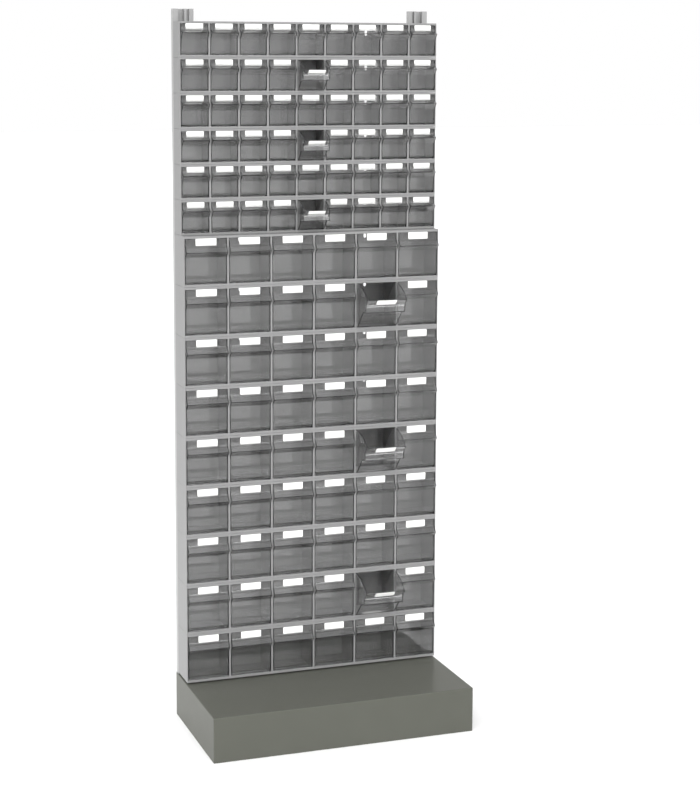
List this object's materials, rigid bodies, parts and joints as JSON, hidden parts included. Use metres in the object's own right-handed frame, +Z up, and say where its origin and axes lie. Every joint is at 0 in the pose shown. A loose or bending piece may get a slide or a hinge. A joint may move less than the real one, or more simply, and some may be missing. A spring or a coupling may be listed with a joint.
{
  "type": "tilt bin storage stand",
  "caption": "Tall free-standing small-parts stand: clear tilt-out bins hinged in stacked grey row housings, small above large, on two steel uprights and a box plinth.",
  "frame": {"origin": "on the floor under the centre of the plinth", "axes": "+X to the right seen from the front, +Y to the back, +Z up"},
  "size_m": [0.603, 0.316, 1.605],
  "materials": {
    "plinth": "satin powder coat",
    "upright": "satin",
    "nut": "zinc plated",
    "housing": "moulded, satin",
    "bin": "clear moulded, glossy"
  },
  "bodies": {
    "stand": {"base_plinth": "plinth", "left_upright": "upright", "right_upright": "upright", "upright_nuts": "nut", "small_housing_1": "housing", "small_housing_2": "housing", "small_housing_3": "housing", "small_housing_4": "housing", "small_housing_5": "housing", "small_housing_6": "housing", "large_housing_1": "housing", "large_housing_2": "housing", "large_housing_3": "housing", "large_housing_4": "housing", "large_housing_5": "housing", "large_housing_6": "housing", "large_housing_7": "housing", "large_housing_8": "housing", "large_housing_9": "housing"},
    "small_bins_row_1": {"small_bins_row_1": "bin"},
    "small_bins_row_2": {"small_bins_row_2": "bin"},
    "small_bin_open_row_2": {"small_bin_open_row_2": "bin"},
    "small_bins_row_3": {"small_bins_row_3": "bin"},
    "small_bins_row_4": {"small_bins_row_4": "bin"},
    "small_bin_open_row_4": {"small_bin_open_row_4": "bin"},
    "small_bins_row_5": {"small_bins_row_5": "bin"},
    "small_bins_row_6": {"small_bins_row_6": "bin"},
    "small_bin_open_row_6": {"small_bin_open_row_6": "bin"},
    "large_bins_row_1": {"large_bins_row_1": "bin"},
    "large_bins_row_2": {"large_bins_row_2": "bin"},
    "large_bin_open_row_2": {"large_bin_open_row_2": "bin"},
    "large_bins_row_3": {"large_bins_row_3": "bin"},
    "large_bins_row_4": {"large_bins_row_4": "bin"},
    "large_bins_row_5": {"large_bins_row_5": "bin"},
    "large_bin_open_row_5": {"large_bin_open_row_5": "bin"},
    "large_bins_row_6": {"large_bins_row_6": "bin"},
    "large_bins_row_7": {"large_bins_row_7": "bin"},
    "large_bins_row_8": {"large_bins_row_8": "bin"},
    "large_bin_open_row_8": {"large_bin_open_row_8": "bin"},
    "large_bins_row_9": {"large_bins_row_9": "bin"}
  },
  "joints": [
    {"name": "small_row_1_hinge", "type": "hinge", "parent": "stand", "child": "small_bins_row_1", "pos_m": [0, 0.0906, 1.5039], "axis": [1, 0, 0], "range_deg": [0, 44]},
    {"name": "small_row_2_hinge", "type": "hinge", "parent": "stand", "child": "small_bins_row_2", "pos_m": [0, 0.0906, 1.4264], "axis": [1, 0, 0], "range_deg": [0, 44]},
    {"name": "small_open_row_2_hinge", "type": "hinge", "parent": "stand", "child": "small_bin_open_row_2", "pos_m": [0, 0.0906, 1.4264], "axis": [1, 0, 0], "range_deg": [-44, 0]},
    {"name": "small_row_3_hinge", "type": "hinge", "parent": "stand", "child": "small_bins_row_3", "pos_m": [0, 0.0906, 1.3489], "axis": [1, 0, 0], "range_deg": [0, 44]},
    {"name": "small_row_4_hinge", "type": "hinge", "parent": "stand", "child": "small_bins_row_4", "pos_m": [0, 0.0906, 1.2714], "axis": [1, 0, 0], "range_deg": [0, 44]},
    {"name": "small_open_row_4_hinge", "type": "hinge", "parent": "stand", "child": "small_bin_open_row_4", "pos_m": [0, 0.0906, 1.2714], "axis": [1, 0, 0], "range_deg": [-44, 0]},
    {"name": "small_row_5_hinge", "type": "hinge", "parent": "stand", "child": "small_bins_row_5", "pos_m": [0, 0.0906, 1.1939], "axis": [1, 0, 0], "range_deg": [0, 44]},
    {"name": "small_row_6_hinge", "type": "hinge", "parent": "stand", "child": "small_bins_row_6", "pos_m": [0, 0.0906, 1.1164], "axis": [1, 0, 0], "range_deg": [0, 44]},
    {"name": "small_open_row_6_hinge", "type": "hinge", "parent": "stand", "child": "small_bin_open_row_6", "pos_m": [0, 0.0906, 1.1164], "axis": [1, 0, 0], "range_deg": [-44, 0]},
    {"name": "large_row_1_hinge", "type": "hinge", "parent": "stand", "child": "large_bins_row_1", "pos_m": [0, 0.0685, 1.0048], "axis": [1, 0, 0], "range_deg": [0, 44]},
    {"name": "large_row_2_hinge", "type": "hinge", "parent": "stand", "child": "large_bins_row_2", "pos_m": [0, 0.0685, 0.8928], "axis": [1, 0, 0], "range_deg": [0, 44]},
    {"name": "large_open_row_2_hinge", "type": "hinge", "parent": "stand", "child": "large_bin_open_row_2", "pos_m": [0.15, 0.0685, 0.8928], "axis": [1, 0, 0], "range_deg": [-44, 0]},
    {"name": "large_row_3_hinge", "type": "hinge", "parent": "stand", "child": "large_bins_row_3", "pos_m": [0, 0.0685, 0.7808], "axis": [1, 0, 0], "range_deg": [0, 44]},
    {"name": "large_row_4_hinge", "type": "hinge", "parent": "stand", "child": "large_bins_row_4", "pos_m": [0, 0.0685, 0.6688], "axis": [1, 0, 0], "range_deg": [0, 44]},
    {"name": "large_row_5_hinge", "type": "hinge", "parent": "stand", "child": "large_bins_row_5", "pos_m": [0, 0.0685, 0.5568], "axis": [1, 0, 0], "range_deg": [0, 44]},
    {"name": "large_open_row_5_hinge", "type": "hinge", "parent": "stand", "child": "large_bin_open_row_5", "pos_m": [0.15, 0.0685, 0.5568], "axis": [1, 0, 0], "range_deg": [-44, 0]},
    {"name": "large_row_6_hinge", "type": "hinge", "parent": "stand", "child": "large_bins_row_6", "pos_m": [0, 0.0685, 0.4448], "axis": [1, 0, 0], "range_deg": [0, 44]},
    {"name": "large_row_7_hinge", "type": "hinge", "parent": "stand", "child": "large_bins_row_7", "pos_m": [0, 0.0685, 0.3328], "axis": [1, 0, 0], "range_deg": [0, 44]},
    {"name": "large_row_8_hinge", "type": "hinge", "parent": "stand", "child": "large_bins_row_8", "pos_m": [0, 0.0685, 0.2208], "axis": [1, 0, 0], "range_deg": [0, 44]},
    {"name": "large_open_row_8_hinge", "type": "hinge", "parent": "stand", "child": "large_bin_open_row_8", "pos_m": [0.15, 0.0685, 0.2208], "axis": [1, 0, 0], "range_deg": [-44, 0]},
    {"name": "large_row_9_hinge", "type": "hinge", "parent": "stand", "child": "large_bins_row_9", "pos_m": [0, 0.0685, 0.1088], "axis": [1, 0, 0], "range_deg": [0, 44]}
  ]
}
